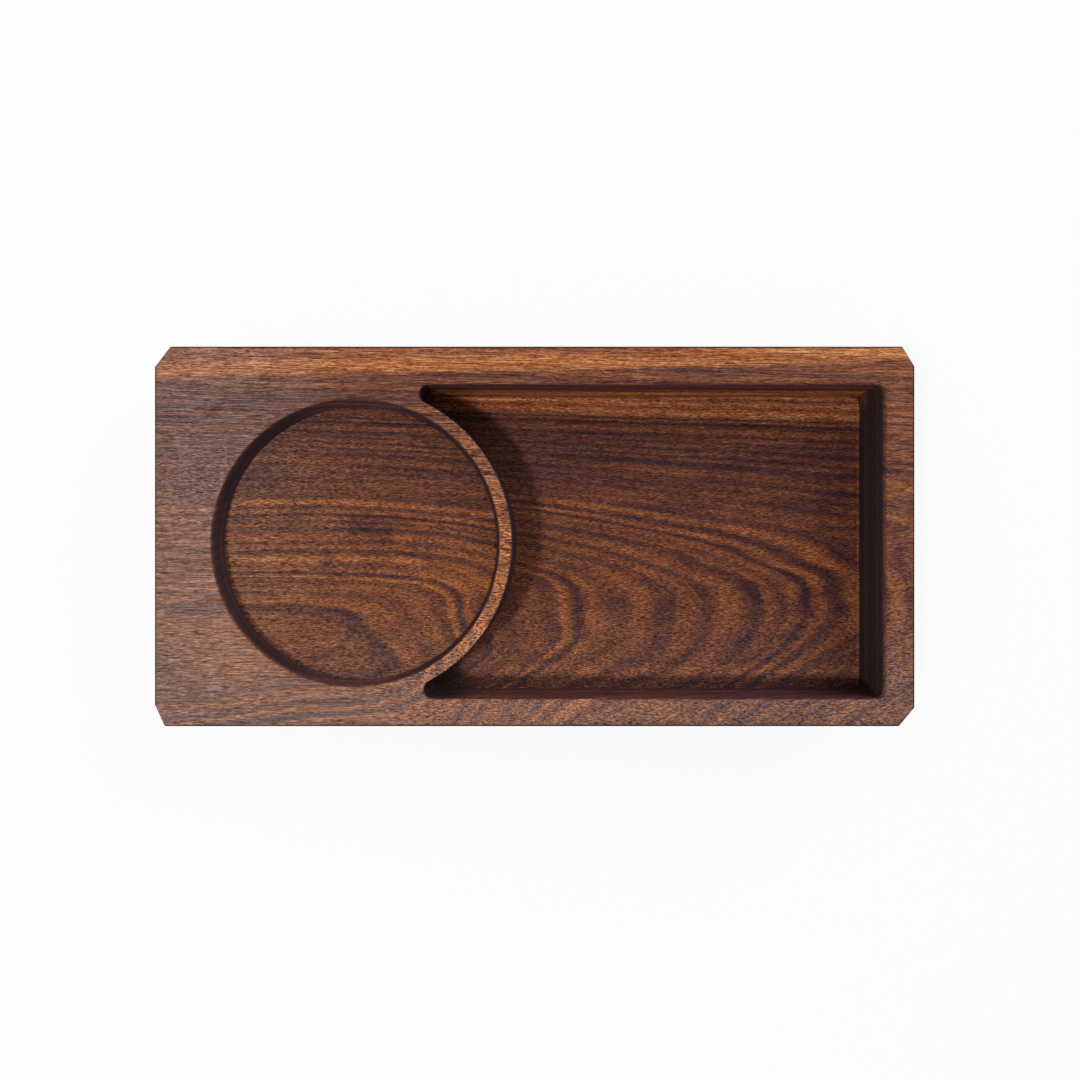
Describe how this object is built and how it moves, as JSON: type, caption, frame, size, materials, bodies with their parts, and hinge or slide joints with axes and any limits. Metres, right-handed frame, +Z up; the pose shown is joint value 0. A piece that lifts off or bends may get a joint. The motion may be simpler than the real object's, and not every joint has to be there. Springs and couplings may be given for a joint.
{
  "type": "coin tray",
  "caption": "Oblong walnut tray with clipped corners, routed with a shallow round dish and a deeper well that wraps the dish behind a thin ring wall.",
  "frame": {"origin": "middle of the tray's outline, on the surface that its feet stand on", "axes": "+X along the length from the round dish to the far end of the well, +Y from front to rear, +Z up"},
  "size_m": [0.2, 0.1, 0.0225],
  "materials": {
    "walnut": "sanded and oiled, low satin sheen",
    "foot_rubber": "moulded, matte",
    "adhesive": "acrylic adhesive film"
  },
  "bodies": {
    "root": {"tray_body": "walnut", "foot_front_left": "foot_rubber", "foot_front_right": "foot_rubber", "foot_rear_left": "foot_rubber", "foot_rear_right": "foot_rubber", "adhesive_disc_front_left": "adhesive", "adhesive_disc_front_right": "adhesive", "adhesive_disc_rear_left": "adhesive", "adhesive_disc_rear_right": "adhesive"}
  },
  "joints": []
}
